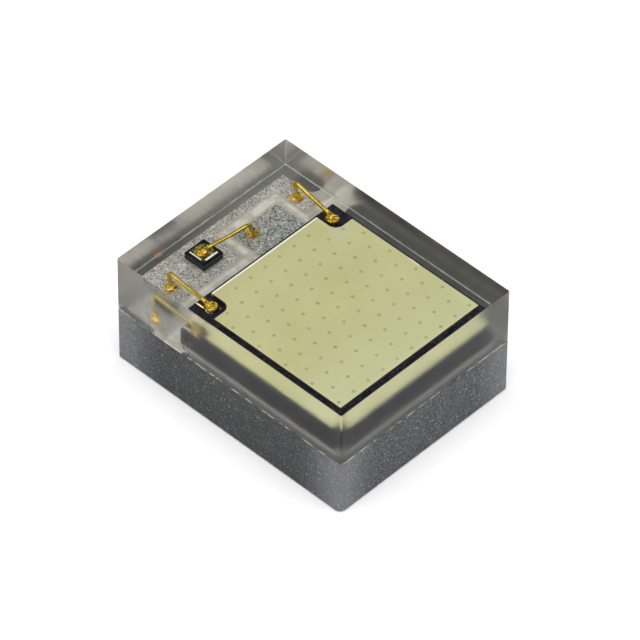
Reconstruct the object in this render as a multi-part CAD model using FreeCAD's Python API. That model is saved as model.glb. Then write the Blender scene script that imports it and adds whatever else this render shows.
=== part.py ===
import FreeCAD, Part
import math
import os

# High-power LED in a clear-topped leadless package, in millimetres.
# Origin at the centre of the underside, +Z up through the clear block,
# +X along the package from the wire-bond shelf to the chip.

# Chip
chip_length = 1.085
chip_width = 1.064
carrier_thickness = 0.103
mirror_thickness = 0.003
film_thickness = 0.005
glue_thickness = 0.004
plate_thickness = 0.031
plate_margin = 0.025
notch_length = 0.140
notch_width = 0.121
notch_radius = 0.052
attach_thickness = 0.022
attach_spread_width = 0.014

# Contact dots under the converter plate
dot_diameter = 0.016
dot_pitch_x = 0.0937
dot_pitch_y = 0.1065
dot_shift_x = 0.0155
dot_shift_y = -0.006
dot_edge_margin = 0.025
dot_sides = 6

# Package around the chip
chip_wall_gap = 0.088
shelf_length = 0.427
base_height = 0.360
cover_over_chip = 0.192
base_corner_radius = 0.010
base_marked_radius = 0.040
block_corner_radius = 0.010
joint_bevel = 0.006

# Lead frame
silver_thickness = 0.005
tin_thickness = 0.010
lead_top_thickness = 0.120
lead_foot_thickness = 0.120
shelf_border_width = 0.047
far_border_width = 0.067
side_border_width = 0.068
strip_width = 0.054
pad_to_chip = 0.103
front_pad_length = 0.529
back_pad_length = 0.115
tab_gap = 0.063
tab_front_gap = 0.063
tab_reach = 0.254
chip_overhang = 0.012
pad_corner_radius = 0.040
tie_bar_width = 0.036
tie_bar_thickness = 0.040
tie_bar_from_front = 0.285
tie_bar_cover = 0.012
tie_bar_end_length = 0.014
saw_excess = 1.0
same_place = 1e-6

# Solder feet
foot_side_margin = 0.120
anode_foot_margin = 0.080
anode_foot_width = 0.220
foot_gap = 0.260
cathode_foot_margin = 0.100

# Pale filler between the leads
filler_depth = 0.006
channel_width = 0.200
channel_shift = 0.012
channel_flare = 0.060
filler_underlap = 0.100

# Bond wires
wire_radius = 0.0125
ball_radius = 0.0375
ball_height = 0.024
ball_foot_share = 0.84
ball_waist_share = 0.42
ball_head_share = 0.72
neck_height = 0.022
bend_radius = 0.028
stitch_radius = 0.021
stitch_height = 0.009
front_loop_height = 0.184
back_loop_height = 0.210
diode_loop_height = 0.130
lean_length = 0.022
landing_length = 0.050
landing_rise = 0.007
landing_clearance = 0.002
front_stitch_shift = -0.009
back_stitch_shift = 0.006
front_ball_shift = 0.0275
front_ball_from_end = 0.113
back_ball_shift = 0.0325
back_ball_from_wall = 0.1395
tab_ball_from_edge = 0.0645
tab_ball_from_end = 0.0905

# Bond pads and stud bumps on the chip
bond_pad_width = 0.036
bond_pad_rim = 0.003
bond_pad_end_gap = 0.004
bond_pad_thickness = 0.003
bump_radius = 0.042
bump_height = 0.036
bump_edge_inset = 0.086
front_bump_inset = 0.086
back_bump_inset = 0.092
pad_shift = 0.014

# Protection diode
diode_length = 0.142
diode_width = 0.141
diode_height = 0.079
diode_bevel = 0.004
diode_border = 0.011
diode_metal_thickness = 0.003
diode_attach_thickness = 0.006
diode_spread_width = 0.005
diode_from_pad_end = 0.150
diode_bump_shift = -0.015
diode_bump_radius = 0.034
diode_bump_height = 0.022

# Sizes that follow from the chip and its clearances
body_length = shelf_length + chip_length + chip_wall_gap
body_width = chip_width + 2 * chip_wall_gap
x_shelf = -body_length / 2
x_far = body_length / 2
y_side = body_width / 2
chip_x0 = x_shelf + shelf_length
chip_x1 = chip_x0 + chip_length
chip_y = chip_width / 2
plate_x0 = chip_x0 + plate_margin
plate_x1 = chip_x1 - plate_margin
plate_y = chip_y - plate_margin

# Levels, from the solder side up
z_foot = tin_thickness
z_lead = base_height - silver_thickness
z_floor = base_height
z_carrier = z_floor + attach_thickness
z_mirror = z_carrier + carrier_thickness
z_film = z_mirror + mirror_thickness
z_glue = z_film + film_thickness
z_plate = z_glue + glue_thickness
z_chip_top = z_plate + plate_thickness
z_top = z_chip_top + cover_over_chip

# Lead plan on the cavity floor
lead_x0 = x_shelf + shelf_border_width
lead_x1 = x_far - far_border_width
lead_y = y_side - side_border_width
strip_x1 = lead_x0 + strip_width
pad_x1 = chip_x0 - pad_to_chip
front_pad_end = -lead_y + front_pad_length
back_pad_end = lead_y - back_pad_length
die_pad_x0 = chip_x0 + chip_overhang
tab_x0 = chip_x0 - tab_reach
tab_y0 = front_pad_end + tab_front_gap
tab_y1 = back_pad_end - tab_gap


def vec(x, y, z=0.0):
    return FreeCAD.Vector(x, y, z)


def corner_arc(before, corner, after, radius):
    """Start, middle and end of the arc that rounds a corner."""
    to_before = (before - corner).normalize()
    to_after = (after - corner).normalize()
    half = to_before.getAngle(to_after) / 2
    bisector = (to_before + to_after).normalize()
    setback = radius / math.tan(half)
    middle = corner + bisector * (radius / math.sin(half) - radius)
    return corner + to_before * setback, middle, corner + to_after * setback


def closed_outline(corners):
    """Closed wire through (x, y, radius) corners, each rounded by its own tangent arc."""
    count = len(corners)
    points = [vec(x, y) for x, y, _ in corners]
    arcs = []
    for i in range(count):
        radius = corners[i][2]
        if radius > 0:
            arcs.append(corner_arc(points[i - 1], points[i], points[(i + 1) % count], radius))
        else:
            arcs.append((points[i], None, points[i]))
    edges = []
    for i in range(count):
        start, middle, end = arcs[i]
        if middle is not None:
            edges.append(Part.Arc(start, middle, end).toShape())
        following = arcs[(i + 1) % count][0]
        if end.distanceToPoint(following) > same_place:
            edges.append(Part.LineSegment(end, following).toShape())
    return Part.Wire(edges)


def prism(corners, z0, z1):
    """Upright solid on a rounded outline."""
    face = Part.Face(closed_outline(corners))
    face.translate(vec(0, 0, z0))
    return face.extrude(vec(0, 0, z1 - z0))


def slab_corners(x0, x1, y0, y1, radius=0.0):
    return [(x0, y0, radius), (x1, y0, radius), (x1, y1, radius), (x0, y1, radius)]


def slab(x0, x1, y0, y1, z0, z1, radius=0.0):
    return prism(slab_corners(x0, x1, y0, y1, radius), z0, z1)


def edges_at(shape, z):
    """Edges of a solid that lie wholly at one level."""
    level = []
    for edge in shape.Edges:
        box = edge.BoundBox
        if abs(box.ZMin - z) < same_place and abs(box.ZMax - z) < same_place:
            level.append(edge)
    return level


def revolved(section, x, y, z):
    """Solid of revolution about an upright axis, from the (radius, height) points of its side."""
    top = section[-1][1]
    points = [vec(0, 0)] + [vec(radius, 0, height) for radius, height in section] + [vec(0, 0, top), vec(0, 0)]
    face = Part.Face(Part.makePolygon(points))
    solid = face.revolve(vec(0, 0, 0), vec(0, 0, 1), 360)
    solid.translate(vec(x, y, z))
    return solid


# Package body

def base_envelope():
    """The base as sawn: one upright corner rounded as a mark, and a fine bevel where the clear block begins."""
    sharp = base_corner_radius
    corners = [
        (x_shelf, -y_side, sharp), (x_far, -y_side, base_marked_radius),
        (x_far, y_side, sharp), (x_shelf, y_side, sharp),
    ]
    box = prism(corners, z_foot, z_floor)
    return box.makeChamfer(joint_bevel, edges_at(box, z_floor))


def clear_envelope():
    """The clear block as sawn, with the matching bevel at its lower edge."""
    box = slab(x_shelf, x_far, -y_side, y_side, z_floor, z_top, block_corner_radius)
    return box.makeChamfer(joint_bevel, edges_at(box, z_floor))


# Leads

def anode_outline():
    """C shape: front pad, strip along the wall and back pad."""
    return [
        (lead_x0, -lead_y, 0.0),
        (pad_x1, -lead_y, 0.0),
        (pad_x1, front_pad_end, pad_corner_radius),
        (strip_x1, front_pad_end, 0.0),
        (strip_x1, back_pad_end, 0.0),
        (pad_x1, back_pad_end, pad_corner_radius),
        (pad_x1, lead_y, 0.0),
        (lead_x0, lead_y, 0.0),
    ]


def cathode_outline():
    """Die pad under the chip with its tab beside the shelf."""
    return [
        (die_pad_x0, -lead_y, 0.0),
        (lead_x1, -lead_y, 0.0),
        (lead_x1, lead_y, 0.0),
        (die_pad_x0, lead_y, 0.0),
        (die_pad_x0, tab_y1, 0.0),
        (tab_x0, tab_y1, 0.0),
        (tab_x0, tab_y0, 0.0),
        (die_pad_x0, tab_y0, 0.0),
    ]


def anode_foot():
    x0 = x_shelf + anode_foot_margin
    y1 = y_side - foot_side_margin
    return slab_corners(x0, x0 + anode_foot_width, -y1, y1)


def cathode_foot():
    x0 = x_shelf + anode_foot_margin + anode_foot_width + foot_gap
    y1 = y_side - foot_side_margin
    return slab_corners(x0, x_far - cathode_foot_margin, -y1, y1)


def lead(top_corners, foot_corners):
    """One etched lead: wide top, narrower foot, and a waist where the two overlap."""
    top = prism(top_corners, z_lead - lead_top_thickness, z_lead)
    foot = prism(foot_corners, z_foot, z_foot + lead_foot_thickness)
    waist_top = prism(top_corners, z_foot, z_lead)
    waist_foot = prism(foot_corners, z_foot, z_lead)
    waist = waist_top.common(waist_foot)
    return top.fuse([foot, waist]).removeSplitter()


def tie_bar():
    """The bar that held the anode in its frame: half etched under the floor, sawn off flush with the wall."""
    y0 = -y_side + tie_bar_from_front
    y1 = y0 + tie_bar_width
    z0 = z_lead - tie_bar_thickness
    bar = slab(x_shelf - saw_excess, strip_x1 - strip_width / 2, y0, y1, z0, z_floor - tie_bar_cover)
    end = slab(x_shelf - saw_excess, x_shelf + tie_bar_end_length, y0, y1, z0, z_floor)
    return bar.fuse(end).common(base_envelope())


def anode_lead():
    plated = prism(anode_outline(), z_lead, z_floor)
    bar = tie_bar().cut(plated)
    return lead(anode_outline(), anode_foot()).fuse(bar).removeSplitter()


def cathode_lead():
    return lead(cathode_outline(), cathode_foot())


def filler():
    """Pale resin flush between the leads, run out to both side walls through flared channels."""
    middle = (pad_x1 + chip_x0) / 2 - channel_shift
    x0 = lead_x0 + strip_width / 2
    x1 = die_pad_x0 + filler_underlap
    left = middle - channel_width / 2
    right = middle + channel_width / 2
    out = y_side + saw_excess
    corners = [
        (x0, -lead_y, 0.0), (left, -lead_y, channel_flare), (left, -out, 0.0),
        (right, -out, 0.0), (right, -lead_y, channel_flare), (x1, -lead_y, 0.0),
        (x1, lead_y, 0.0), (right, lead_y, channel_flare), (right, out, 0.0),
        (left, out, 0.0), (left, lead_y, channel_flare), (x0, lead_y, 0.0),
    ]
    pool = prism(corners, z_floor - filler_depth, z_floor).common(base_envelope())
    leads = [prism(outline, z_foot, z_floor) for outline in (anode_outline(), cathode_outline())]
    return pool.cut(leads)


# Chip

def plate_outline():
    """Rectangle with a round-cornered notch at both corners beside the shelf."""
    notch_x = plate_x0 + notch_length
    notch_y = plate_y - notch_width
    return [
        (notch_x, -plate_y, 0.0),
        (plate_x1, -plate_y, 0.0),
        (plate_x1, plate_y, 0.0),
        (notch_x, plate_y, 0.0),
        (notch_x, notch_y, notch_radius),
        (plate_x0, notch_y, 0.0),
        (plate_x0, -notch_y, 0.0),
        (notch_x, -notch_y, notch_radius),
    ]


def tapered_layer(x0, x1, y0, y1, z0, z1, spread_x0, spread):
    """Thin adhesive layer whose sides slope out to its foot."""
    foot = closed_outline(slab_corners(x0 - spread_x0, x1 + spread, y0 - spread, y1 + spread))
    head = closed_outline(slab_corners(x0, x1, y0, y1))
    foot.translate(vec(0, 0, z0))
    head.translate(vec(0, 0, z1))
    return Part.makeLoft([foot, head], True, True)


def die_attach():
    x0 = die_pad_x0 + attach_spread_width
    return tapered_layer(x0, chip_x1, -chip_y, chip_y, z_floor, z_carrier, 0.0, attach_spread_width)


def chip_carrier():
    return slab(chip_x0, chip_x1, -chip_y, chip_y, z_carrier, z_mirror)


def plate_layer(z0, z1):
    """A layer of the chip with the converter plate's notched outline."""
    return prism(plate_outline(), z0, z1)


def dot_places():
    """Staggered lattice of contact dots, left out where the plate has its notches."""
    centre_x = (plate_x0 + plate_x1) / 2 + dot_shift_x
    reach_x = (plate_x1 - plate_x0) / 2 - dot_edge_margin - abs(dot_shift_x)
    reach_y = plate_y - dot_edge_margin
    columns = int(reach_x / dot_pitch_x)
    rows = int(reach_y / dot_pitch_y) + 1
    notch_x = plate_x0 + notch_length + dot_diameter
    notch_y = plate_y - notch_width - dot_diameter
    places = []
    for column in range(-columns, columns + 1):
        x = centre_x + column * dot_pitch_x
        offset = dot_pitch_y / 2 if column % 2 else 0.0
        for row in range(-rows, rows + 1):
            y = row * dot_pitch_y + offset
            if abs(y) > reach_y:
                continue
            if x < notch_x and abs(y) > notch_y:
                continue
            places.append((x, y + dot_shift_y))
    return places


def contact_dots():
    """The etched contacts, finer than the wire, so each is drawn with few sides."""
    radius = dot_diameter / 2
    turns = [2 * math.pi * i / dot_sides for i in range(dot_sides)]
    dots = []
    for x, y in dot_places():
        corners = [(x + radius * math.cos(a), y + radius * math.sin(a), 0.0) for a in turns]
        dots.append(prism(corners, z_film, z_glue))
    return Part.makeCompound(dots)


def emitting_film():
    return plate_layer(z_film, z_glue).cut(contact_dots())


# Gold bonds

def mashed_ball(radius, height):
    """Half section of a ball pressed flat: foot, waist and head of its bulging side."""
    return [(radius * ball_foot_share, 0.0), (radius, height * ball_waist_share), (radius * ball_head_share, height)]


def stud_bump(radius, height, x, y, z):
    """A gold ball coined flat on top."""
    return revolved(mashed_ball(radius, height), x, y, z)


def ball_bond(x, y, z):
    """The mashed ball a wire starts from, with the cone that leads up into the wire."""
    neck = [(wire_radius, ball_height + neck_height)]
    return revolved(mashed_ball(ball_radius, ball_height) + neck, x, y, z)


def loop_route(start, apex, landing, end):
    """Steep rise, tight bend in two chords, long straight run and short landing."""
    bend = corner_arc(start, apex, landing, bend_radius)
    return Part.makePolygon([start, *bend, landing, end])


def round_wire(start, apex, landing, end):
    """Drawn wire swept along its loop, mitred where the route turns."""
    route = loop_route(start, apex, landing, end)
    section = Part.Wire([Part.makeCircle(wire_radius, start, apex - start)])
    mitred = 1
    return route.makePipeShell([section], True, False, mitred)


def bond_wire(ball, stitch_place, bump_top, loop_height, lean, bump_solid):
    """Ball on the floor, a steep rise, a sharp bend, a straight run and a stitch on the stud bump."""
    start = vec(ball[0], ball[1], z_floor + ball_height + neck_height / 2)
    apex = vec(ball[0] + lean[0], ball[1] + lean[1], z_floor + loop_height)
    end = vec(stitch_place[0], stitch_place[1], bump_top + landing_rise)
    back = (apex - end).normalize() * landing_length
    landing = vec(end.x + back.x, end.y + back.y, bump_top + wire_radius + landing_clearance)
    wire = round_wire(start, apex, landing, end)
    stitch = Part.makeCylinder(stitch_radius, stitch_height, vec(stitch_place[0], stitch_place[1], bump_top))
    whole = ball_bond(ball[0], ball[1], z_floor).fuse([wire, stitch]).removeSplitter()
    return whole.cut(bump_solid)


# Places of the bonds

def bump_place(side):
    inset = front_bump_inset if side < 0 else back_bump_inset
    return chip_x0 + bump_edge_inset, side * (chip_y - inset)


def chip_bump(side):
    x, y = bump_place(side)
    return stud_bump(bump_radius, bump_height, x, y, z_mirror + bond_pad_thickness)


def chip_bond_pad(side):
    """A round land under the bump with a tongue that runs out to the chip's edge."""
    x, y = bump_place(side)
    middle = y + side * pad_shift
    land = Part.makeCylinder(bump_radius * ball_foot_share + bond_pad_rim, bond_pad_thickness, vec(x, y, z_mirror))
    tongue = slab(chip_x0 + bond_pad_end_gap, x, middle - bond_pad_width / 2, middle + bond_pad_width / 2,
                  z_mirror, z_mirror + bond_pad_thickness)
    return land.fuse(tongue).removeSplitter()


def shelf_middle():
    return (lead_x0 + pad_x1) / 2


def chip_wire(side):
    x, y = bump_place(side)
    if side < 0:
        ball = (shelf_middle() + front_ball_shift, -lead_y + front_ball_from_end)
        stitch_place = (x, y + front_stitch_shift)
        loop_height = front_loop_height
    else:
        ball = (shelf_middle() + back_ball_shift, y_side - back_ball_from_wall)
        stitch_place = (x, y + back_stitch_shift)
        loop_height = back_loop_height
    bump_top = z_mirror + bond_pad_thickness + bump_height
    return bond_wire(ball, stitch_place, bump_top, loop_height, (-lean_length, 0.0), chip_bump(side))


# Protection diode

def diode_place():
    return shelf_middle(), front_pad_end - diode_from_pad_end


def diode_z():
    return z_floor + diode_attach_thickness


def diode_attach():
    x, y = diode_place()
    half_x = diode_length / 2
    half_y = diode_width / 2
    return tapered_layer(x - half_x, x + half_x, y - half_y, y + half_y, z_floor, diode_z(),
                         diode_spread_width, diode_spread_width)


def diode_die():
    x, y = diode_place()
    half_x = diode_length / 2
    half_y = diode_width / 2
    top = diode_z() + diode_height
    block = slab(x - half_x, x + half_x, y - half_y, y + half_y, diode_z(), top)
    return block.makeChamfer(diode_bevel, edges_at(block, top))


def diode_metal():
    x, y = diode_place()
    half_x = diode_length / 2 - diode_border
    half_y = diode_width / 2 - diode_border
    z0 = diode_z() + diode_height
    return slab(x - half_x, x + half_x, y - half_y, y + half_y, z0, z0 + diode_metal_thickness)


def diode_bump_place():
    x, y = diode_place()
    return x, y + diode_bump_shift


def diode_bump():
    x, y = diode_bump_place()
    z0 = diode_z() + diode_height + diode_metal_thickness
    return stud_bump(diode_bump_radius, diode_bump_height, x, y, z0)


def diode_wire():
    ball = (tab_x0 + tab_ball_from_edge, tab_y0 + tab_ball_from_end)
    bump_top = diode_z() + diode_height + diode_metal_thickness + diode_bump_height
    lean = (-lean_length / 2, -lean_length / 2)
    return bond_wire(ball, diode_bump_place(), bump_top, diode_loop_height, lean, diode_bump())


# Assembly

def inner_pieces():
    """Everything that stands on the floor and is held by the clear block."""
    return {
        "die_attach": die_attach(),
        "chip_carrier": chip_carrier(),
        "chip_mirror": plate_layer(z_mirror, z_film),
        "emitting_film": emitting_film(),
        "contact_dots": contact_dots(),
        "converter_glue": plate_layer(z_glue, z_plate),
        "converter_plate": plate_layer(z_plate, z_chip_top),
        "front_bond_pad": chip_bond_pad(-1),
        "back_bond_pad": chip_bond_pad(1),
        "front_stud_bump": chip_bump(-1),
        "back_stud_bump": chip_bump(1),
        "front_bond_wire": chip_wire(-1),
        "back_bond_wire": chip_wire(1),
        "diode_attach": diode_attach(),
        "protection_diode": diode_die(),
        "diode_contact": diode_metal(),
        "diode_stud_bump": diode_bump(),
        "diode_bond_wire": diode_wire(),
    }


def frame_pieces():
    """Leads, their platings and the resin between them, all inside the base."""
    return {
        "anode_lead": anode_lead(),
        "cathode_lead": cathode_lead(),
        "anode_silver": prism(anode_outline(), z_lead, z_floor),
        "cathode_silver": prism(cathode_outline(), z_lead, z_floor),
        "filler": filler(),
    }


def clear_block(inner):
    """The clear block as cast round the inner pieces; the chip's layers share one outline."""
    layers = ("chip_mirror", "emitting_film", "contact_dots", "converter_glue", "converter_plate")
    held = [shape for node, shape in inner.items() if node not in layers]
    held.append(plate_layer(z_mirror, z_chip_top))
    return clear_envelope().cut(held)


def build():
    pieces = frame_pieces()
    pieces["base_molding"] = base_envelope().cut(list(pieces.values()))
    pieces["anode_tin"] = prism(anode_foot(), 0.0, z_foot)
    pieces["cathode_tin"] = prism(cathode_foot(), 0.0, z_foot)
    inner = inner_pieces()
    pieces["clear_block"] = clear_block(inner)
    pieces.update(inner)
    return pieces


os.makedirs("parts", exist_ok=True)
for node, shape in build().items():
    shape.exportStep("parts/" + node + ".step")
    print(node, len(shape.Solids), "solid, volume %.6f mm3" % shape.Volume, "valid", shape.isValid())
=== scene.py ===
import math
import random

import bmesh
import bpy
from mathutils import Matrix, Vector


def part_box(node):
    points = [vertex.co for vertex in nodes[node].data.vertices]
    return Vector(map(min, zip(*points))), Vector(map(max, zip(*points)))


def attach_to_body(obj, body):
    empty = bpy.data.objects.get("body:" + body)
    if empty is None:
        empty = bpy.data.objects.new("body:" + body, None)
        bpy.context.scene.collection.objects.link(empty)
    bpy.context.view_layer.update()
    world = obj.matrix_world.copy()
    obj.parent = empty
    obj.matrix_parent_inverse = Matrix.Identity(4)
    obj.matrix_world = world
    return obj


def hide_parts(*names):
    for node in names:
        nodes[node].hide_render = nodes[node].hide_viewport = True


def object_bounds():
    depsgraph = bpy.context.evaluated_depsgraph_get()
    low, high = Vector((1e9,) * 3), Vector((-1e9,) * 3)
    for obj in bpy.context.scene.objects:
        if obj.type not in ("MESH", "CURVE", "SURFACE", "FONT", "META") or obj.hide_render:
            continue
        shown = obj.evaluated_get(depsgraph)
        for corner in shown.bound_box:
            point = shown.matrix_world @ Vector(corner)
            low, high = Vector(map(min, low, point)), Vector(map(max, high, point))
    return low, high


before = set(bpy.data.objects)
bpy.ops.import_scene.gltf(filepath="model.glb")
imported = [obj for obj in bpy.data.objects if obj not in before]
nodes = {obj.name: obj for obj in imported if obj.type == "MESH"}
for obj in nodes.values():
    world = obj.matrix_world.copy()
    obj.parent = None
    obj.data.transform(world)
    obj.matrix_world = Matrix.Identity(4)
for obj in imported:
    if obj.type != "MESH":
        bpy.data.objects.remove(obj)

# Looks of the high-power LED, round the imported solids. Lengths are in metres, given as a number times MM.
# The sizes and depths that the Shader's textures take, named _mm there, are in millimetres.

cad_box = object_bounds()
MM = 0.001
UP = Vector((0.0, 0.0, 1.0))
BLACK = (0.0, 0.0, 0.0, 1.0)
WHITE = (1.0, 1.0, 1.0, 1.0)

ON_FACE = 0.0005 * MM       # a point this near to a face's plane counts as on it
JOINT_BEVEL = 0.006 * MM    # the bevel where base and clear block meet
RESIN_IOR = 1.53

# Levels and outlines read from the solids
body_low, body_high = cad_box
floor_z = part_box("base_molding")[1].z
block_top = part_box("clear_block")[1].z
chip_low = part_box("chip_carrier")[0]
plate_low, plate_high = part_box("converter_plate")


# Shader helpers

def linear(r, g, b):
    """A colour given as it looks on a screen, 0 to 255, as the linear colour that shaders use."""
    def one(v):
        v /= 255.0
        return v / 12.92 if v <= 0.04045 else ((v + 0.055) / 1.055) ** 2.4
    return (one(r), one(g), one(b), 1.0)


class Shader:
    """A material with one Principled surface, whose nodes are added by short calls."""

    def __init__(self, name, **constants):
        self.material = bpy.data.materials.new(name)
        self.material.use_nodes = True
        self.tree = self.material.node_tree
        self.tree.nodes.clear()
        out = self.tree.nodes.new("ShaderNodeOutputMaterial")
        self.surface = self.tree.nodes.new("ShaderNodeBsdfPrincipled")
        self.tree.links.new(self.surface.outputs[0], out.inputs["Surface"])
        for socket, value in constants.items():
            self.surface.inputs[socket.replace("_", " ")].default_value = value
        self.place = self.add("ShaderNodeTexCoord").outputs["Object"]

    def add(self, kind, inputs=None, **props):
        """A node with its settings, and with its inputs linked or set."""
        made = self.tree.nodes.new(kind)
        for key, value in props.items():
            setattr(made, key, value)
        for key, value in (inputs or {}).items():
            if isinstance(value, bpy.types.NodeSocket):
                self.tree.links.new(value, made.inputs[key])
            else:
                made.inputs[key].default_value = value
        return made

    def set(self, socket, value):
        """Link a value to a socket of the surface."""
        self.tree.links.new(value, self.surface.inputs[socket])

    def axes(self):
        split = self.add("ShaderNodeSeparateXYZ", {0: self.place})
        return split.outputs[0], split.outputs[1], split.outputs[2]

    # Arithmetic

    def math(self, operation, a, b=0.0, clamp=False):
        made = self.add("ShaderNodeMath", {0: a, 1: b}, operation=operation, use_clamp=clamp)
        return made.outputs[0]

    def plus(self, a, b):
        return self.math("ADD", a, b)

    def minus(self, a, b):
        return self.math("SUBTRACT", a, b)

    def times(self, a, b, clamp=False):
        return self.math("MULTIPLY", a, b, clamp)

    def over(self, a, b):
        return self.math("DIVIDE", a, b)

    def unsigned(self, value):
        return self.math("ABSOLUTE", value)

    def larger(self, a, b):
        return self.math("MAXIMUM", a, b)

    def smaller(self, a, b):
        return self.math("MINIMUM", a, b)

    def length(self, a, b):
        return self.math("SQRT", self.plus(self.times(a, a), self.times(b, b)))

    def above(self, value, limit):
        return self.math("GREATER_THAN", value, limit)

    def below(self, value, limit):
        return self.math("LESS_THAN", value, limit)

    def between(self, value, low, high):
        return self.times(self.above(value, low), self.below(value, high))

    def remap(self, value, low, high, new_low=0.0, new_high=1.0, smooth=False):
        made = self.add("ShaderNodeMapRange", {
            "Value": value, "From Min": low, "From Max": high, "To Min": new_low, "To Max": new_high},
            interpolation_type="SMOOTHSTEP" if smooth else "LINEAR")
        return made.outputs[0]

    def near(self, value, place, half_width, core=0.3):
        """One at place and over the share core of half_width round it, then falling softly to nothing."""
        away = self.unsigned(self.minus(value, place))
        return self.remap(away, half_width * core, half_width, 1.0, 0.0, smooth=True)

    # Textures, colours and relief

    def noise(self, size_mm, detail=2.0, roughness=0.5, place=None):
        made = self.add("ShaderNodeTexNoise", {
            "Vector": place or self.place, "Scale": 1.0 / (size_mm * MM), "Detail": detail,
            "Roughness": roughness})
        return made.outputs[0]

    def joint_chips(self):
        """The noise by which the joint line is broken, alike on both sides of the joint."""
        return self.noise(0.045, detail=3.0, roughness=0.65)

    def cells(self, size_mm):
        """A colour of its own for each small cell."""
        made = self.add("ShaderNodeTexVoronoi", {"Vector": self.place, "Scale": 1.0 / (size_mm * MM)})
        return made.outputs["Color"]

    def lumps(self, size_mm):
        """Rounded cells, by the distance from each one's middle."""
        made = self.add("ShaderNodeTexVoronoi", {"Vector": self.place, "Scale": 1.0 / (size_mm * MM)},
                        feature="SMOOTH_F1")
        return made.outputs["Distance"]

    def stretched(self, x, y, z):
        made = self.add("ShaderNodeMapping", {"Vector": self.place, "Scale": (x, y, z)})
        return made.outputs[0]

    def first_channel(self, colour):
        return self.add("ShaderNodeSeparateColor", {0: colour}).outputs[0]

    def mix(self, share, a, b, blend="MIX"):
        made = self.add("ShaderNodeMix", {0: share, 6: a, 7: b}, data_type="RGBA", blend_type=blend)
        return made.outputs[2]

    def ramp(self, value, stops):
        made = self.add("ShaderNodeValToRGB", {0: value})
        points = made.color_ramp.elements
        while len(points) < len(stops):
            points.new(0.5)
        for point, (where, colour) in zip(points, stops):
            point.position = where
            point.color = colour
        return made.outputs[0]

    def bump(self, height, depth_mm, strength=1.0, normal=None):
        inputs = {"Height": height, "Distance": depth_mm * MM, "Strength": strength}
        if normal is not None:
            inputs["Normal"] = normal
        return self.add("ShaderNodeBump", inputs).outputs[0]


# Materials

def molding_material():
    """Sawn dark moulding compound: fine light and dark filler grains, paler at the upright corners, partly
    from wear and partly a painted highlight, and darker on the long sides by painted shade. Its top, under
    the clear block, is smooth and plain with a pale band of painted light behind the strip, and the bevel at
    the joint is frosted."""
    s = Shader("molding")
    x, y, z = s.axes()
    out_x = s.unsigned(x)
    out_y = s.unsigned(y)
    cloud = s.noise(0.16, detail=3.0)
    grain = s.noise(0.0060, detail=3.0, roughness=0.8)
    ground = s.ramp(grain, [(0.36, linear(36, 37, 40)), (0.50, linear(62, 63, 66)),
                            (0.64, linear(112, 114, 117))])
    ground = s.mix(s.remap(cloud, 0.35, 0.65, 0.0, 0.4), ground, linear(60, 61, 63))
    # Paler upright corners: partly wear, partly a painted highlight on their rounding
    corner_x = s.remap(out_x, 0.46 * MM, 0.80 * MM, smooth=True)
    corner_y = s.remap(out_y, 0.34 * MM, 0.62 * MM, smooth=True)
    corner_highlight_and_wear = s.times(corner_x, corner_y)
    fleck_key = s.first_channel(s.cells(0.0062))
    flecks = s.remap(fleck_key, 0.80, 0.88, 0.0, 0.5)
    ground = s.mix(flecks, ground, linear(130, 131, 132))
    bright_key = s.first_channel(s.cells(0.0078))
    bright = s.remap(bright_key, 0.978, 0.985, 0.0, 0.6)
    ground = s.mix(bright, ground, linear(190, 192, 192))
    ground = s.mix(s.times(corner_highlight_and_wear, 0.60), ground, (0.20, 0.20, 0.205, 1.0), blend="SCREEN")
    # Painted shade on the long sides, a little stronger towards +x
    shaded_long_side = s.above(out_y, body_high.y - ON_FACE)
    shaded_long_side = s.times(shaded_long_side, s.minus(1.0, corner_highlight_and_wear))
    side_shade = s.remap(x, -0.75 * MM, -0.25 * MM, 0.41, 0.50, smooth=True)
    ground = s.mix(s.times(shaded_long_side, side_shade), ground, BLACK)
    top = s.above(z, floor_z - ON_FACE)
    skin = s.ramp(cloud, [(0.3, linear(94, 97, 92)), (0.7, linear(108, 110, 105))])
    # Painted light: a pale band on the top behind the strip, growing towards +y
    painted_light_band = s.times(s.remap(x, -0.66 * MM, -0.70 * MM),
                   s.remap(y, -0.35 * MM, 0.30 * MM, 0.0, 0.6, smooth=True))
    skin = s.mix(painted_light_band, skin, linear(160, 161, 155))
    ground = s.mix(top, ground, skin)
    ground = s.mix(joint_band(s, out_x, out_y, z), ground, linear(214, 214, 208))
    s.set("Base Color", ground)
    s.set("Roughness", s.remap(fleck_key, 0.7, 1.0, 0.66, 0.42))
    s.set("Normal", s.bump(grain, 0.0020, 0.7))
    return s.material


def joint_band(s, out_x, out_y, z):
    """Where the base's bevel at the joint is frosted, which is broken here and there."""
    rim_x = s.above(out_x, body_high.x - JOINT_BEVEL + 0.0002 * MM)
    rim_y = s.above(out_y, body_high.y - JOINT_BEVEL + 0.0002 * MM)
    rim = s.larger(rim_x, rim_y)
    level = s.above(z, floor_z - JOINT_BEVEL + ON_FACE)
    broken = s.remap(s.joint_chips(), 0.46, 0.56, 0.0, 0.75)
    return s.times(s.times(rim, level), broken)


# Outlines of the silver that the filler meets: the bay in the C-shaped lead, the ends of that lead's two
# pads, and the tab of the other lead, which reaches into the bay
BAY_LOW_X, BAY_LOW_Y, BAY_HIGH_Y = -0.699 * MM, -0.023 * MM, 0.437 * MM
PAD_END_X = -0.476 * MM
TAB_X, TAB_HALF_X = -0.499 * MM, 0.128 * MM
TAB_Y, TAB_HALF_Y = 0.207 * MM, 0.167 * MM


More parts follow.
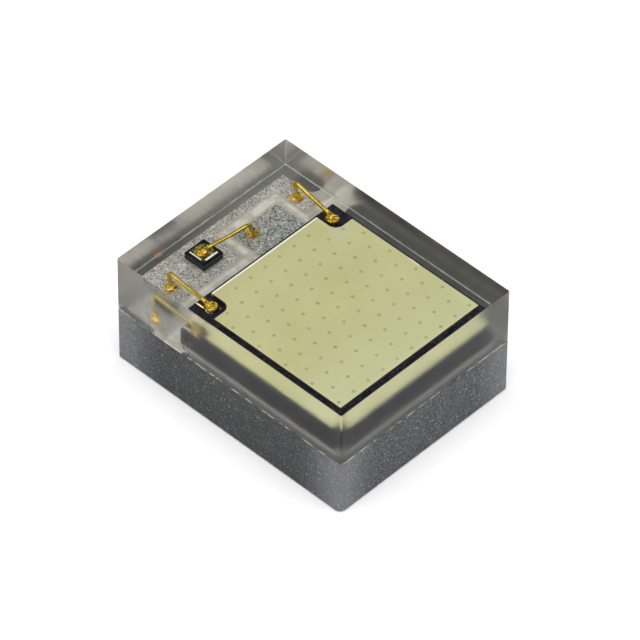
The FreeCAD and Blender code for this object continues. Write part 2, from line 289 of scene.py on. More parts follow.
def beside_silver(s, x, y):
    """How far a point of the filler is from the nearest silver."""
    bay = s.smaller(s.minus(x, BAY_LOW_X), s.smaller(s.minus(y, BAY_LOW_Y), s.minus(BAY_HIGH_Y, y)))
    from_anode = s.larger(bay, s.minus(x, PAD_END_X))
    from_tab = s.larger(s.minus(s.unsigned(s.minus(x, TAB_X)), TAB_HALF_X),
                        s.minus(s.unsigned(s.minus(y, TAB_Y)), TAB_HALF_Y))
    return s.smaller(from_anode, from_tab)


def filler_material():
    """Pale resin with a thin line of painted shade beside the silver, a painted highlight on the ridge along
    that, and a faint step round the corner of the back pad."""
    s = Shader("filler", Roughness=0.45)
    x, y = s.axes()[:2]
    cloud = s.noise(0.065, detail=3.0)
    fine = s.noise(0.010, detail=2.0)
    ground = s.ramp(cloud, [(0.34, linear(210, 205, 193)), (0.50, linear(226, 221, 208)),
                            (0.64, linear(240, 236, 226))])
    ground = s.mix(s.remap(fine, 0.35, 0.75, 0.0, 0.2), ground, linear(206, 202, 188))
    beside = beside_silver(s, x, y)
    # Painted highlight on the ridge beside the silver
    ridge_highlight = s.times(s.near(beside, 0.027 * MM, 0.012 * MM), s.remap(cloud, 0.38, 0.55, 0.15, 0.75))
    ground = s.mix(ridge_highlight, ground, linear(253, 251, 244))
    # Painted shade in a thin line next to the silver
    shaded = s.remap(beside, 0.004 * MM, 0.016 * MM, 0.42, 0.0)
    ground = s.mix(shaded, ground, linear(166, 163, 150))
    step_x, step_y, stroke = -0.6525 * MM, 0.395 * MM, 0.012 * MM
    upright = s.times(s.near(x, step_x, stroke), s.between(y, step_y, BAY_HIGH_Y))
    level = s.times(s.near(y, step_y, stroke), s.between(x, step_x, -0.440 * MM))
    step = s.times(s.larger(upright, level), 0.22)
    ground = s.mix(step, ground, linear(158, 156, 142))
    s.set("Base Color", ground)
    s.set("Normal", s.bump(fine, 0.0008, 0.5))
    return s.material


def silver_material(name, dark, light, metallic):
    """Rough plating: small bright facets, each tilted and tinted its own way, among dull ones."""
    s = Shader(name, Metallic=metallic)
    colours = s.cells(0.0066)
    facet = s.first_channel(colours)
    facet_fine = s.first_channel(s.cells(0.0040))
    cloud = s.noise(0.07, detail=3.0, roughness=0.6)
    ground = s.ramp(facet, [(0.0, dark), (0.50, light), (0.84, light), (0.92, (0.94, 0.94, 0.93, 1.0))])
    ground = s.mix(s.remap(cloud, 0.35, 0.65, 0.0, 0.35), ground, dark)
    s.set("Base Color", s.mix(0.16, ground, colours, blend="SOFT_LIGHT"))
    s.set("Roughness", s.remap(facet_fine, 0.0, 1.0, 0.36, 0.62))
    height = s.plus(s.times(facet, 0.6), s.times(facet_fine, 0.4))
    crumbs = s.noise(0.0075, detail=2.0, roughness=0.7)
    s.set("Normal", s.bump(crumbs, 0.0040, 0.75, s.bump(height, 0.0012, 0.5)))
    return s.material


def copper_material():
    """The bare leads, seen only at the sawn end of the tie bar."""
    s = Shader("copper", Metallic=1.0)
    fine = s.noise(0.012, detail=3.0)
    s.set("Base Color", s.ramp(fine, [(0.3, linear(176, 92, 52)), (0.7, linear(232, 146, 96))]))
    s.set("Roughness", s.remap(fine, 0.3, 0.7, 0.35, 0.55))
    s.set("Normal", s.bump(fine, 0.002, 0.6))
    return s.material


def tin_material():
    """Matt electroplated tin: soft lumpy grains with fine satin between them."""
    s = Shader("tin", Metallic=0.9)
    lumps = s.lumps(0.022)
    fine = s.noise(0.006, detail=3.0)
    cloud = s.noise(0.20, detail=3.0)
    ground = s.ramp(cloud, [(0.3, linear(176, 175, 171)), (0.7, linear(206, 205, 200))])
    s.set("Base Color", s.mix(s.remap(lumps, 0.2, 0.8, 0.0, 0.35), ground, linear(150, 149, 146)))
    s.set("Roughness", s.remap(fine, 0.3, 0.7, 0.38, 0.58))
    s.set("Normal", s.bump(lumps, 0.003, 0.7, s.bump(fine, 0.001, 0.5)))
    return s.material


def carrier_material():
    """Sawn dark carrier, faintly blue, with fine speckle and chipping and a few pale flecks. Its side toward
    the clear block's long side has painted shade, darker for the double that shows there."""
    s = Shader("carrier", Specular_IOR_Level=0.08)
    streak = s.noise(0.010, detail=3.0, place=s.stretched(1.0, 1.0, 5.0))
    chips = s.noise(0.022, detail=3.0, roughness=0.7)
    ground = s.ramp(streak, [(0.35, linear(27, 26, 36)), (0.65, linear(48, 49, 60))])
    speckle = s.first_channel(s.cells(0.0060))
    ground = s.mix(s.remap(speckle, 0.80, 0.88, 0.0, 0.6), ground, linear(84, 84, 96))
    shaded_long_side = s.below(s.axes()[1], chip_low.y + ON_FACE)
    ground = s.mix(s.remap(chips, 0.66, 0.74, 0.0, 0.6), ground, linear(58, 57, 68))
    # Painted shade on the side toward the clear block's long side
    ground = s.mix(s.times(shaded_long_side, 0.72), ground, linear(8, 7, 10))
    fleck_key = s.first_channel(s.cells(0.011))
    ground = s.mix(s.remap(fleck_key, 0.993, 0.996, 0.0, 0.7), ground, linear(226, 205, 202))
    s.set("Base Color", ground)
    s.set("Roughness", s.remap(streak, 0.3, 0.7, 0.28, 0.40))
    s.set("Normal", s.bump(streak, 0.0006, 0.4))
    return s.material


def film_material():
    """The thin light-emitting film, dark while it is off."""
    s = Shader("film", Roughness=0.35)
    fine = s.noise(0.006, detail=2.0)
    s.set("Base Color", s.ramp(fine, [(0.3, linear(26, 26, 22)), (0.7, linear(44, 43, 36))]))
    s.set("Normal", s.bump(fine, 0.0005, 0.5))
    return s.material


def contact_material():
    """The small metal contacts through the film."""
    s = Shader("contact", Roughness=0.4, Metallic=0.8)
    fine = s.noise(0.004, detail=2.0)
    s.set("Base Color", s.ramp(fine, [(0.3, linear(96, 92, 66)), (0.7, linear(140, 136, 100))]))
    return s.material


def attach_material():
    """Silver-filled adhesive with a grainy fillet."""
    s = Shader("attach", Roughness=0.5, Metallic=0.35)
    grain = s.noise(0.008, detail=3.0, roughness=0.7)
    s.set("Base Color", s.ramp(grain, [(0.3, linear(128, 125, 118)), (0.7, linear(212, 208, 198))]))
    s.set("Normal", s.bump(grain, 0.003, 0.8))
    return s.material


def resin_material():
    """The bond line under the converter plate, dark from what lies below."""
    s = Shader("resin", Roughness=0.25)
    cloud = s.noise(0.05, detail=2.0)
    s.set("Base Color", s.ramp(cloud, [(0.3, linear(30, 29, 24)), (0.7, linear(46, 45, 38))]))
    return s.material


# The lattice of contacts as it shows through the plate. Columns are counted from the one at DOT_X, and the
# lengths that end in _MM are in millimetres.
DOT_X, DOT_Y = 0.185 * MM, -0.006 * MM
PITCH_X_MM, PITCH_Y_MM = 0.0937, 0.1065
COLUMNS_OUT = 5.5
DOTS_OUT_MM = 0.482
NOTCH_COLUMN = -4.05
NOTCH_DOTS_MM = 0.370
NOTCH_LENGTH = 0.121 * MM


def lattice_dots(s, x, y, fine):
    """One on the soft dots of a staggered lattice, and nothing outside its outline and in the notches. The
    cell of a point comes first, then its distance from the cell's dot."""
    column = s.over(s.minus(x, DOT_X), PITCH_X_MM * MM)
    nearest = s.math("ROUND", column)
    odd = s.math("MODULO", s.unsigned(nearest), 2.0)
    level = s.over(s.minus(y, DOT_Y), PITCH_Y_MM * MM)
    row = s.minus(level, s.times(odd, 0.5))
    dx = s.times(s.minus(column, nearest), PITCH_X_MM)
    dy = s.times(s.minus(row, s.math("ROUND", row)), PITCH_Y_MM)
    wobble = s.times(s.minus(fine, 0.5), 0.006)
    dot = s.remap(s.plus(s.length(dx, dy), wobble), 0.004, 0.015, 1.0, 0.0, smooth=True)
    dot_y = s.unsigned(s.times(s.plus(s.math("ROUND", row), s.times(odd, 0.5)), PITCH_Y_MM))
    inside = s.times(s.below(s.unsigned(nearest), COLUMNS_OUT), s.below(dot_y, DOTS_OUT_MM))
    in_notch = s.times(s.below(nearest, NOTCH_COLUMN), s.above(dot_y, NOTCH_DOTS_MM))
    return s.times(dot, s.times(inside, s.minus(1.0, in_notch)))


def converter_material():
    """Pale yellow plate: faint clouding, paler away from the strip, the lattice of contacts showing through
    as soft dots, a painted highlight that also glows along the strip side, a scuff by the back notch and dark
    sawn sides, with painted shade on the long one."""
    s = Shader("converter", Emission_Strength=0.25)
    x, y, z = s.axes()
    cloud = s.noise(0.30, detail=2.0)
    fine = s.noise(0.012, detail=3.0, roughness=0.6)
    ground = s.ramp(cloud, [(0.32, linear(230, 227, 164)), (0.68, linear(240, 237, 180))])
    ground = s.mix(s.remap(fine, 0.3, 0.7, 0.0, 0.14), ground, linear(208, 206, 148))
    pale = s.remap(x, 0.20 * MM, 0.55 * MM, 0.0, 0.45, smooth=True)
    ground = s.mix(pale, ground, linear(240, 241, 200))
    depth = s.remap(s.noise(0.09), 0.3, 0.7, 0.42, 0.78)
    ground = s.mix(s.times(lattice_dots(s, x, y, fine), depth), ground, linear(170, 169, 108))
    scuff_place = s.times(s.near(x, -0.185 * MM, 0.060 * MM), s.near(y, 0.400 * MM, 0.100 * MM))
    scuff = s.times(scuff_place, s.remap(s.noise(0.030, detail=3.0), 0.45, 0.62, 0.0, 0.5))
    ground = s.mix(scuff, ground, linear(236, 236, 214))
    # Painted highlight, which also glows, along the edge between the notches, and a short one on the back
    # edge
    plate_edge_highlight = s.times(s.below(x, plate_low.x + 0.0095 * MM),
                   s.below(s.unsigned(y), plate_high.y - NOTCH_LENGTH))
    back_edge_highlight = s.times(s.above(y, plate_high.y - 0.006 * MM), s.between(x, 0.20 * MM, 0.27 * MM))
    plate_edge_highlight = s.larger(plate_edge_highlight, back_edge_highlight)
    ground = s.mix(plate_edge_highlight, ground, linear(255, 254, 240))
    sawn = s.below(z, plate_high.z - 0.0015 * MM)
    side = s.ramp(s.noise(0.006, detail=2.0), [(0.35, linear(30, 32, 38)), (0.65, linear(72, 74, 78))])
    # Painted shade on the long sawn side
    shaded_long_side = s.below(y, plate_low.y + ON_FACE)
    side = s.mix(s.times(shaded_long_side, 0.72), side, linear(9, 9, 10))
    ground = s.mix(sawn, ground, side)
    s.set("Base Color", ground)
    s.set("Roughness", s.remap(fine, 0.3, 0.7, 0.36, 0.5))
    s.set("Normal", s.bump(fine, 0.0008, 0.4))
    s.set("Emission Color", s.mix(plate_edge_highlight, BLACK, (1.0, 0.97, 0.76, 1.0)))
    return s.material


def gold_material():
    """Drawn gold on the wire, all of it glowing faintly. Low down, on the mashed ball, it is deeper, dented
    and mottled, and has small painted glints that glow."""
    s = Shader("gold", Metallic=1.0, Emission_Strength=0.55)
    cloud = s.noise(0.02, detail=3.0, roughness=0.6)
    fine = s.noise(0.005, detail=2.0)
    z = s.axes()[2]
    drawn = s.ramp(cloud, [(0.35, (0.50, 0.38, 0.055, 1.0)), (0.7, (0.66, 0.53, 0.11, 1.0))])
    dents = s.noise(0.017, detail=2.0, roughness=0.6)
    mashed = s.ramp(dents, [(0.34, (0.62, 0.34, 0.01, 1.0)), (0.48, (1.0, 0.62, 0.06, 1.0)),
                            (0.64, (1.0, 0.80, 0.26, 1.0))])
    low = s.remap(z, floor_z + 0.025 * MM, floor_z + 0.060 * MM, 1.0, 0.0)
    s.set("Base Color", s.mix(low, drawn, mashed))
    # Painted glints on the ball, lit by emission; the rest of the gold glows faintly
    painted_glint = s.times(low, s.remap(dents, 0.50, 0.66))
    s.set("Emission Color", s.mix(painted_glint, (0.05, 0.025, 0.0, 1.0), (1.0, 0.70, 0.20, 1.0)))
    s.set("Roughness", s.plus(s.remap(fine, 0.3, 0.7, 0.05, 0.12), s.times(low, 0.12)))
    dented = s.bump(dents, 0.0055, s.times(low, 0.9))
    s.set("Normal", s.bump(cloud, 0.0010, 0.35, s.bump(fine, 0.0003, 0.3, dented)))
    return s.material


def crushed_gold_material():
    """Gold under the tool: pitted and mottled, each pit throwing its own glint."""
    s = Shader("gold_crushed", Metallic=1.0)
    cloud = s.noise(0.014, detail=3.0, roughness=0.7)
    pits = s.lumps(0.0080)
    s.set("Base Color", s.ramp(cloud, [(0.36, (0.24, 0.14, 0.01, 1.0)), (0.50, (0.56, 0.36, 0.03, 1.0)),
                                       (0.68, (0.92, 0.70, 0.12, 1.0))]))
    s.set("Roughness", s.remap(cloud, 0.3, 0.7, 0.16, 0.28))
    s.set("Normal", s.bump(pits, 0.0030, 0.9, s.bump(cloud, 0.0030, 0.7)))
    return s.material


def bond_pad_material():
    """Thin gold land, painted dark for the black card that it mirrors, with a painted highlight that glows
    along its outer edge.
    """
    s = Shader("bond_pad", Metallic=1.0, Emission_Strength=1.1)
    y = s.axes()[1]
    cloud = s.noise(0.02, detail=3.0, roughness=0.6)
    # Painted reflection: the gold is dark, for the black card that it mirrors
    ground = s.ramp(cloud, [(0.35, (0.16, 0.09, 0.01, 1.0)), (0.7, (0.30, 0.18, 0.03, 1.0))])
    # Painted highlight, lit by emission too, along the pads' outer edges
    line = 0.017 * MM
    front = s.near(y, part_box("front_bond_pad")[0].y, line)
    back = s.near(y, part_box("back_bond_pad")[1].y, line)
    edge = s.times(s.plus(front, back), s.remap(cloud, 0.38, 0.46), clamp=True)
    s.set("Base Color", s.mix(edge, ground, (1.0, 0.93, 0.60, 1.0)))
    s.set("Emission Color", s.mix(edge, BLACK, (1.0, 0.92, 0.60, 1.0)))
    s.set("Roughness", s.remap(edge, 0.0, 0.6, 0.12, 0.75))
    s.set("Normal", s.bump(cloud, 0.0008, 0.4))
    return s.material


def silicon_material():
    """The diode's sawn sides: near black with a green-blue sheen."""
    s = Shader("silicon", Specular_IOR_Level=0.10)
    streak = s.noise(0.008, detail=2.0, place=s.stretched(1.0, 1.0, 4.0))
    s.set("Base Color", s.ramp(streak, [(0.35, linear(14, 22, 28)), (0.65, linear(30, 44, 50))]))
    s.set("Roughness", s.remap(streak, 0.3, 0.7, 0.18, 0.32))
    s.set("Normal", s.bump(streak, 0.0008, 0.5))
    return s.material


def diode_top_material():
    """The diode's top: dark green oxide, a broken painted highlight that glows along two sides of its rim,
    and a gilded patch round the bump. u and v run from -1 to 1 across it."""
    s = Shader("diode_top", Emission_Strength=0.22)
    x, y = s.axes()[:2]
    low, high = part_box("diode_contact")
    middle = (low + high) / 2
    half = (high - low) / 2
    u = s.over(s.minus(x, middle.x), half.x)
    v = s.over(s.minus(y, middle.y), half.y)
    cloud = s.noise(0.024, detail=2.0)
    fine = s.noise(0.006, detail=2.0)
    # Painted highlight, lit by emission too, on the rim along two sides
    thick = s.times(s.near(u, 0.80, 0.12, core=0.6), s.below(s.unsigned(v), 0.84))
    thin = s.times(s.near(v, -0.86, 0.08, core=0.6), s.below(s.unsigned(u), 0.88))
    thick = s.times(thick, s.remap(cloud, 0.36, 0.44))
    corner = s.times(s.above(u, 0.52), s.below(v, -0.62))
    rim_highlight = s.times(s.larger(thick, thin), s.minus(1.0, corner))
    patch = s.remap(s.length(u, v), 0.74, 1.05, 1.0, 0.0)
    gilded = s.times(patch, s.remap(s.noise(0.011, detail=2.0), 0.47, 0.54))
    ground = s.ramp(cloud, [(0.40, linear(6, 14, 12)), (0.52, linear(16, 40, 30)),
                            (0.70, linear(70, 100, 72))])
    ground = s.mix(s.times(gilded, 0.95), ground, linear(226, 192, 70))
    border = s.remap(s.larger(s.unsigned(u), s.unsigned(v)), 0.92, 0.97)
    ground = s.mix(border, ground, linear(9, 13, 15))
    # Colour of the painted rim highlight
    bright = s.ramp(fine, [(0.3, linear(222, 244, 244)), (0.7, linear(255, 255, 252))])
    ground = s.mix(rim_highlight, ground, bright)
    s.set("Base Color", ground)
    s.set("Roughness", s.remap(fine, 0.3, 0.7, 0.35, 0.6))
    s.set("Metallic", s.remap(rim_highlight, 0.0, 1.0, 0.5, 0.0))
    s.set("Emission Color", s.mix(rim_highlight, BLACK, (0.92, 1.0, 1.0, 1.0)))
    s.set("Normal", s.bump(cloud, 0.0015, 0.5))
    return s.material


def clear_top_material():
    """Cast top of the clear block, all but flat."""
    s = Shader("clear_top", IOR=RESIN_IOR, Roughness=0.0, Transmission_Weight=1.0,
               Base_Color=(0.985, 0.985, 0.97, 1.0))
    ripple = s.noise(0.35, detail=2.0)
    s.set("Normal", s.bump(ripple, 0.0006, 0.3))
    return s.material


def clear_side_material():
    """Sawn sides of the clear block: satin with fine level saw lines. The two front sides blur what shows
    through them, less beside the front wire, more at the strip end and on the short side. The two back
    sides are smoother, because they mirror the inside."""
    s = Shader("clear_side", IOR=RESIN_IOR, Transmission_Weight=1.0, Base_Color=(0.98, 0.98, 0.96, 1.0),
               Specular_Tint=BLACK)
    lines = s.noise(0.010, detail=3.0, roughness=0.6, place=s.stretched(0.08, 0.08, 1.0))
    patches = s.noise(0.16, detail=3.0)
    x, y = s.axes()[:2]
    back = s.larger(s.below(x, body_low.x + ON_FACE), s.above(y, body_high.y - ON_FACE))
    clearer = s.remap(x, -0.12 * MM, -0.32 * MM, 0.0, -0.13, smooth=True)
    foggier = s.remap(x, -0.56 * MM, -0.70 * MM, 0.0, 0.18, smooth=True)
    left = s.plus(clearer, foggier)
    right = s.remap(x, body_high.x - 2 * ON_FACE, body_high.x - ON_FACE, 0.0, 0.10)
    front_roughness = s.plus(s.remap(patches, 0.3, 0.7, 0.36, 0.41), s.plus(left, right))
    back_roughness = s.remap(patches, 0.3, 0.7, 0.22, 0.27)
    s.set("Roughness", s.plus(s.times(back, back_roughness), s.times(s.minus(1.0, back), front_roughness)))
    grain = s.noise(0.009, detail=2.0)
    grained = s.bump(grain, 0.0012, s.remap(back, 0.0, 1.0, 0.6, 0.0))
    s.set("Normal", s.bump(lines, 0.0010, 0.3, grained))
    return s.material


def frost_material():
    """The clear block's bevel at the joint: chipped white, broken where the resin stayed clear."""
    s = Shader("clear_frost", IOR=RESIN_IOR, Base_Color=(0.92, 0.92, 0.90, 1.0), Roughness=0.5)
    broken = s.joint_chips()
    s.set("Transmission Weight", s.remap(broken, 0.46, 0.56, 0.97, 0.35))
    s.set("Normal", s.bump(broken, 0.003, 0.5))
    return s.material


def stage_material():
    """White card, lit a little by itself so that it stays white under the part's soft shadow."""
    s = Shader("stage_floor", Roughness=0.6, Emission_Color=WHITE, Emission_Strength=0.12)
    cloud = s.noise(6.0, detail=2.0)
    s.set("Base Color", s.ramp(cloud, [(0.3, (0.93, 0.93, 0.93, 1.0)), (0.7, (0.95, 0.95, 0.95, 1.0))]))
    return s.material


# Mesh helpers

def new_piece(name, verts, faces, materials, slot, *replaced, smooth_angle=40.0):
    """A piece of the root body that takes the place of CAD nodes."""
    mesh = bpy.data.meshes.new(name)
    mesh.from_pydata([tuple(v) for v in verts], [], faces)
    mesh.validate()
    edit = bmesh.new()
    edit.from_mesh(mesh)
    bmesh.ops.recalc_face_normals(edit, faces=edit.faces)
    edit.to_mesh(mesh)
    edit.free()
    for polygon in mesh.polygons:
        polygon.use_smooth = True
    mesh.set_sharp_from_angle(angle=math.radians(smooth_angle))
    for material in materials:
        mesh.materials.append(material)
    piece = bpy.data.objects.new(name, mesh)
    bpy.context.scene.collection.objects.link(piece)
    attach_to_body(piece, "root")
    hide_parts(*replaced)
    return piece


def ring_faces(levels, count):
    """Faces of a closed body whose verts are rings of count points, one per level, capped at both ends."""
    faces = [tuple(reversed(range(count)))]
    for level in range(levels - 1):
        a = level * count
        b = a + count
        for i in range(count):
            j = (i + 1) % count
            faces.append((a + i, a + j, b + j, b + i))
    last = (levels - 1) * count
    faces.append(tuple(range(last, last + count)))
    return faces


def rounded_ring(x0, x1, y0, y1, radius, steps):
    """Points of a rectangle with rounded corners, counter-clockwise."""
    points = []
    for cx, cy, start in ((x1 - radius, y0 + radius, -90), (x1 - radius, y1 - radius, 0),
                          (x0 + radius, y1 - radius, 90), (x0 + radius, y0 + radius, 180)):
        for i in range(steps + 1):
            a = math.radians(start + 90.0 * i / steps)
            points.append((cx + radius * math.cos(a), cy + radius * math.sin(a)))
    return points


# Clear block

BLOCK_CORNER = 0.010 * MM
SMALLEST_CORNER = 0.003 * MM
BLOCK_TOP_BEVEL = 0.0025 * MM
BLOCK_SUNK = 0.002 * MM
CORNER_STEPS = 6


def clear_block():
    """Only the outer skin: everything cast inside shows through it. Its foot is sunk just under the floor."""
    verts = []
    levels = ((floor_z - BLOCK_SUNK, JOINT_BEVEL), (floor_z, JOINT_BEVEL), (floor_z + JOINT_BEVEL, 0.0),
              (block_top - BLOCK_TOP_BEVEL, 0.0), (block_top, BLOCK_TOP_BEVEL))
    for z, inset in levels:
        ring = rounded_ring(body_low.x + inset, body_high.x - inset,
                            body_low.y + inset, body_high.y - inset,
                            max(BLOCK_CORNER - inset, SMALLEST_CORNER), CORNER_STEPS)
        verts += [(x, y, z) for x, y in ring]
    faces = ring_faces(len(levels), len(verts) // len(levels))
    piece = new_piece("cast_block", verts, faces, [clear_top, clear_side, frost], "clear", "clear_block",
                      smooth_angle=30.0)
    on_top, on_side, on_bevel = range(3)
    for polygon in piece.data.polygons:
        tilt = polygon.normal.z
        if tilt > 0.9:
            polygon.material_index = on_top
        elif -0.9 < tilt < -0.1:
            polygon.material_index = on_bevel
        else:
            polygon.material_index = on_side


# Gold bonds

WIRE = 0.0125 * MM            # the wire's radius
BALL_RADIUS = 0.0375 * MM
BALL_HEIGHT = 0.024 * MM
START_HEIGHT = 0.035 * MM     # of the wire's first point, inside the ball's neck
NECK = (1.02, 2.9)            # the neck's upper end, in wire radii and ball heights
BEND_RADIUS = 0.024 * MM
BEND_STEPS = 10
RUN_STEPS = 14
SAG = 0.004 * MM
LANDING_HEIGHT = 0.0145 * MM  # of the wire over the bump where the stitch begins
STITCH_END_HEIGHT = 0.004 * MM
STITCH_LENGTH = 0.050 * MM
CRUSHED_REACH = 0.028 * MM    # how far round a stitch's end the gold is crushed
RING_SIDES = 36
TUBE_SIDES = 18
TURN_PER_METRE = 9000.0       # by which a turned form's unevenness changes with height, in radians

# Side of a mashed ball and of a stud bump from the foot up, in shares of the form's radius and height
BALL_SIDE = ((0.80, 0.0), (0.93, 0.12), (1.0, 0.42), (0.98, 0.66), (0.90, 0.88), (0.80, 1.06), (0.70, 1.18),
             (0.60, 1.34), (0.52, 1.56), (0.45, 1.90), (0.39, 2.35))
BUMP_SIDE = ((0.84, 0.0), (0.95, 0.14), (1.0, 0.36), (0.97, 0.55), (0.88, 0.72), (0.82, 0.80), (0.80, 0.90),
             (0.74, 0.98), (0.64, 1.0), (0.52, 0.99), (0.40, 0.98), (0.28, 0.99), (0.14, 0.98))

# The stitch: share of its length, then its half width and half height in wire radii
STITCH = ((0.0, 1.0, 1.0), (0.20, 1.02, 0.94), (0.36, 1.06, 0.80), (0.50, 1.18, 0.60), (0.62, 1.42, 0.44),
          (0.75, 1.72, 0.34), (0.90, 1.95, 0.30), (1.05, 1.95, 0.27), (1.12, 1.8, 0.10))

# Each bump with the seed of its unevenness
BUMPS = (("front_stud_bump", 3), ("back_stud_bump", 4), ("diode_stud_bump", 5))

# Each wire, the bump it ends on, its ball's place, how far its stitch is off the bump's middle along y, where
# its bend would be sharp, seen from the ball's foot, and its seed. Lengths are in millimetres.
WIRES = (
    ("front_bond_wire", "front_stud_bump", (-0.587, -0.439), -0.009, (-0.022, 0.0, 0.184), 11),
    ("back_bond_wire", "back_stud_bump", (-0.582, 0.4805), 0.006, (-0.022, 0.0, 0.210), 12),
    ("diode_bond_wire", "diode_stud_bump", (-0.5625, 0.1305), 0.0, (-0.011, -0.011, 0.130), 13),
)


def revolved(profile, centre, seed, lump, pitted=0.0):
    """A turned form whose rings are slightly uneven, as soft gold is after bonding."""
    draw = random.Random(seed)
    waves = [(draw.uniform(0, 2 * math.pi), draw.randint(2, 5), draw.uniform(0.4, 1.0)) for _ in range(4)]
    verts = []
    for radius, height in profile:
        for i in range(RING_SIDES):
            a = 2 * math.pi * i / RING_SIDES
            bulge = sum(w * math.sin(n * a + p + height * TURN_PER_METRE) for p, n, w in waves) / len(waves)
            r = radius * (1 + lump * bulge)
            drop = pitted * draw.random()
            verts.append((centre[0] + r * math.cos(a), centre[1] + r * math.sin(a),
                          centre[2] + height - drop))
    return verts, ring_faces(len(profile), RING_SIDES)


def tube(path, sizes, side):
    """A wire along path, with a half width and half height at each point. side is level and across it."""
    verts = []
    for i, point in enumerate(path):
        before = path[max(i - 1, 0)]
        after = path[min(i + 1, len(path) - 1)]
        along = (after - before).normalized()
        across = (side - along * side.dot(along)).normalized()
        up = across.cross(along).normalized()
        wide, high = sizes[i]
        for k in range(TUBE_SIDES):
            a = 2 * math.pi * k / TUBE_SIDES
            verts.append(point + across * (wide * math.cos(a)) + up * (high * math.sin(a)))
    return verts, ring_faces(len(path), TUBE_SIDES)


def bend_points(a, corner, b, radius, steps):
    """Points of a round bend of that radius between two straight runs that meet at corner."""
    u = (a - corner).normalized()
    v = (b - corner).normalized()
    half = u.angle(v) / 2
    reach = radius / math.tan(half)
    middle = corner + (u + v).normalized() * (radius / math.sin(half))
    start = corner + u * reach - middle
    end = corner + v * reach - middle
    turn = start.angle(end)
    axis = start.cross(end).normalized()
    return [middle + Matrix.Rotation(turn * i / steps, 3, axis) @ start for i in range(steps + 1)]


def joined(parts):
    """Verts and faces of several bodies as those of one mesh."""
    verts, faces = [], []
    for more_verts, more_faces in parts:
        base = len(verts)
        verts.extend(more_verts)
        faces.extend(tuple(base + i for i in f) for f in more_faces)
    return verts, faces


def bond_wire(name, x, y, stitch, bump_top, apex, seed):
    """Mashed ball with its neck, the looped wire and the crushed stitch on the bump, as one gold piece."""
    side_of_ball = [(BALL_RADIUS * wide, BALL_HEIGHT * high) for wide, high in BALL_SIDE]
    neck = (WIRE * NECK[0], BALL_HEIGHT * NECK[1])
    ball_part = revolved(side_of_ball + [neck], (x, y, floor_z), seed, lump=0.045)

    start = Vector((x, y, floor_z + START_HEIGHT))
    end = Vector((stitch[0], stitch[1], bump_top + STITCH_END_HEIGHT))
    run = end - apex
    level = Vector((run.x, run.y, 0.0)).normalized()
    landing = end - level * STITCH_LENGTH
    landing.z = bump_top + LANDING_HEIGHT
    path = [start] + bend_points(start, apex, landing, BEND_RADIUS, BEND_STEPS)
    last = path[-1]
    for i in range(1, RUN_STEPS):
        t = i / RUN_STEPS
        path.append(last.lerp(landing, t) - UP * (SAG * math.sin(math.pi * t)))
    sizes = [(WIRE, WIRE)] * len(path)
    for t, wide, high in STITCH:
        point = landing.lerp(end, min(t, 1.0)) + level * (max(t - 1.0, 0.0) * STITCH_LENGTH)
        resting = bump_top + WIRE * high * 0.9
        point.z = resting if t > 0.25 else max(point.z, resting)
        path.append(point)
        sizes.append((WIRE * wide, WIRE * high))
    wire_part = tube(path, sizes, level.cross(UP).normalized())

    verts, faces = joined([ball_part, wire_part])
    piece = new_piece(name, verts, faces, [gold, crushed_gold], "gold", name)
    for polygon in piece.data.polygons:
        if (polygon.center - end).length < CRUSHED_REACH:
            polygon.material_index = 1


def stud_bump(name, seed):
    """A coined ball: bulging side, a stepped shoulder from the capillary and a pitted top."""
    low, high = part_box(name)
    radius = (high.x - low.x) / 2
    height = high.z - low.z
    centre = ((low.x + high.x) / 2, (low.y + high.y) / 2, low.z)
    profile = [(radius * wide, height * up) for wide, up in BUMP_SIDE]
    verts, faces = revolved(profile, centre, seed, lump=0.05, pitted=0.0022 * MM)
    new_piece(name + "_coined", verts, faces, [crushed_gold], "gold", name)


def add_bonds():
    """The bumps, and the wires that end on them."""
    for name, seed in BUMPS:
        stud_bump(name, seed)
    for name, bump, ball, shift, lean, seed in WIRES:
        low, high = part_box(bump)
        stitch = ((low.x + high.x) / 2, (low.y + high.y) / 2 + shift * MM)
        x, y = ball[0] * MM, ball[1] * MM
        apex = Vector((x + lean[0] * MM, y + lean[1] * MM, floor_z + lean[2] * MM))
        bond_wire(name, x, y, stitch, high.z, apex, seed)


# Camera, light and floor

# The photograph's camera, from a fit to the corners of the base and of the clear block
AZIMUTH, ELEVATION, ROLL = math.radians(43.87), math.radians(45.58), math.radians(0.39)
CAMERA_DISTANCE = 34.48 * MM
TARGET_HEIGHT = 0.3606 * MM
IMAGE_PIXELS = 640.0
FOCAL_PIXELS = 6699.0
SHIFT_PIXELS = (7.4, 4.0)
SENSOR_WIDTH = 36.0

SKY_LIGHT = 3.1
WALL_LIGHT = 0.20
BOX_EDGE = (0.70, 0.84)                # heights on the sky where the soft box begins and is full
CARD_WAY = (-0.485, 0.505, 0.714)
CARD_EDGE = (0.84, 0.95)               # nearness to that way where the black card begins and is full
CARD_LIGHT = 0.10                      # share of the sky's light that the card leaves
FLOOR_HALF = 0.25


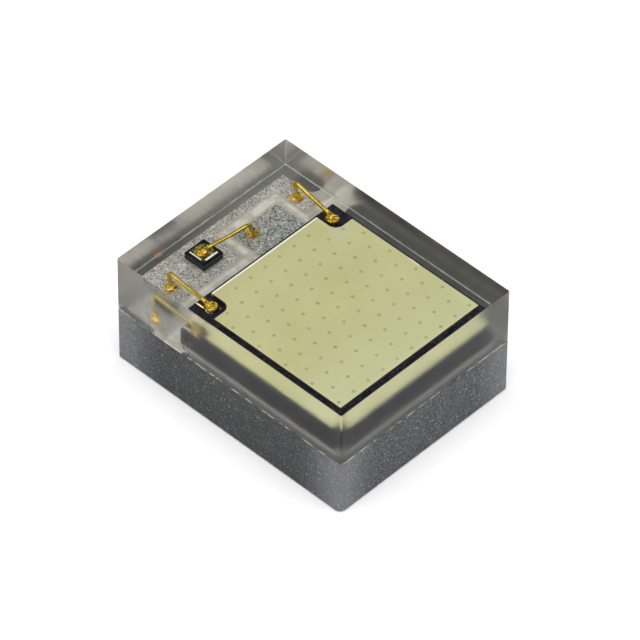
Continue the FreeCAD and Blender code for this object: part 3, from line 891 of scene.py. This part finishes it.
def add_camera():
    """The photograph's view: a long lens from the front right, half way up."""
    target = Vector((0.0, 0.0, TARGET_HEIGHT))
    back = Vector((math.sin(AZIMUTH) * math.cos(ELEVATION), -math.cos(AZIMUTH) * math.cos(ELEVATION),
                   math.sin(ELEVATION)))
    right = UP.cross(back).normalized()
    up = back.cross(right)
    x_axis = right * math.cos(ROLL) + up * math.sin(ROLL)
    y_axis = up * math.cos(ROLL) - right * math.sin(ROLL)
    data = bpy.data.cameras.new("camera")
    data.sensor_width = SENSOR_WIDTH
    data.lens = FOCAL_PIXELS * SENSOR_WIDTH / IMAGE_PIXELS
    data.shift_x = SHIFT_PIXELS[0] / IMAGE_PIXELS
    data.shift_y = SHIFT_PIXELS[1] / IMAGE_PIXELS
    data.clip_start = 0.001
    data.clip_end = 10.0
    camera = bpy.data.objects.new("camera", data)
    bpy.context.scene.collection.objects.link(camera)
    turned = Matrix((x_axis, y_axis, back)).transposed().to_4x4()
    camera.matrix_world = Matrix.Translation(target + back * CAMERA_DISTANCE) @ turned
    bpy.context.scene.camera = camera


def add_light():
    """A wide soft box overhead, dim walls round it and a black card where the clear top would mirror it."""
    world = bpy.data.worlds.new("studio")
    bpy.context.scene.world = world
    world.use_nodes = True
    tree = world.node_tree
    way = tree.nodes.new("ShaderNodeTexCoord").outputs["Generated"]
    split = tree.nodes.new("ShaderNodeSeparateXYZ")
    tree.links.new(way, split.inputs[0])
    toward = tree.nodes.new("ShaderNodeVectorMath")
    toward.operation = "DOT_PRODUCT"
    toward.inputs[1].default_value = CARD_WAY
    tree.links.new(way, toward.inputs[0])
    box = world_step(tree, split.outputs[2], BOX_EDGE, WALL_LIGHT, SKY_LIGHT)
    card = world_step(tree, toward.outputs["Value"], CARD_EDGE, 1.0, CARD_LIGHT)
    product = tree.nodes.new("ShaderNodeMath")
    product.operation = "MULTIPLY"
    tree.links.new(box, product.inputs[0])
    tree.links.new(card, product.inputs[1])
    background = tree.nodes["Background"]
    background.inputs["Color"].default_value = WHITE
    tree.links.new(product.outputs[0], background.inputs["Strength"])


def world_step(tree, value, edge, before, after):
    """A soft step in the world's light, where value passes edge."""
    step = tree.nodes.new("ShaderNodeMapRange")
    step.interpolation_type = "SMOOTHSTEP"
    for socket, number in zip(("From Min", "From Max", "To Min", "To Max"), (*edge, before, after)):
        step.inputs[socket].default_value = number
    tree.links.new(value, step.inputs["Value"])
    return step.outputs[0]


def add_stage():
    """A wide white floor under the part."""
    half = FLOOR_HALF
    verts = [(-half, -half, 0.0), (half, -half, 0.0), (half, half, 0.0), (-half, half, 0.0)]
    mesh = bpy.data.meshes.new("stage_floor")
    mesh.from_pydata(verts, [], [(0, 1, 2, 3)])
    mesh.materials.append(stage_material())
    floor = bpy.data.objects.new("stage_floor", mesh)
    bpy.context.scene.collection.objects.link(floor)


# Assembly

gold = gold_material()
crushed_gold = crushed_gold_material()
bond_pad = bond_pad_material()
clear_top = clear_top_material()
clear_side = clear_side_material()
frost = frost_material()
attach = attach_material()
copper = copper_material()
tin = tin_material()
dressed = {
    "base_molding": molding_material(),
    "filler": filler_material(),
    "anode_lead": copper,
    "cathode_lead": copper,
    "anode_silver": silver_material("silver", linear(118, 116, 113), linear(228, 224, 217), 0.65),
    "cathode_silver": silver_material("silver_tab", linear(82, 86, 82), linear(202, 206, 198), 0.85),
    "anode_tin": tin,
    "cathode_tin": tin,
    "die_attach": attach,
    "chip_carrier": carrier_material(),
    "chip_mirror": silver_material("chip_mirror", linear(22, 22, 26), linear(58, 57, 60), 0.6),
    "emitting_film": film_material(),
    "contact_dots": contact_material(),
    "converter_glue": resin_material(),
    "converter_plate": converter_material(),
    "front_bond_pad": bond_pad,
    "back_bond_pad": bond_pad,
    "diode_attach": attach,
    "protection_diode": silicon_material(),
    "diode_contact": diode_top_material(),
}
for node_name, material in dressed.items():
    data = nodes[node_name].data
    data.materials.clear()
    data.materials.append(material)

add_bonds()
clear_block()
add_stage()
add_light()
add_camera()

scene = bpy.context.scene
scene.view_settings.view_transform = "Standard"
scene.view_settings.look = "None"
scene.cycles.max_bounces = 24
scene.cycles.diffuse_bounces = 6
scene.cycles.glossy_bounces = 12
scene.cycles.transmission_bounces = 24
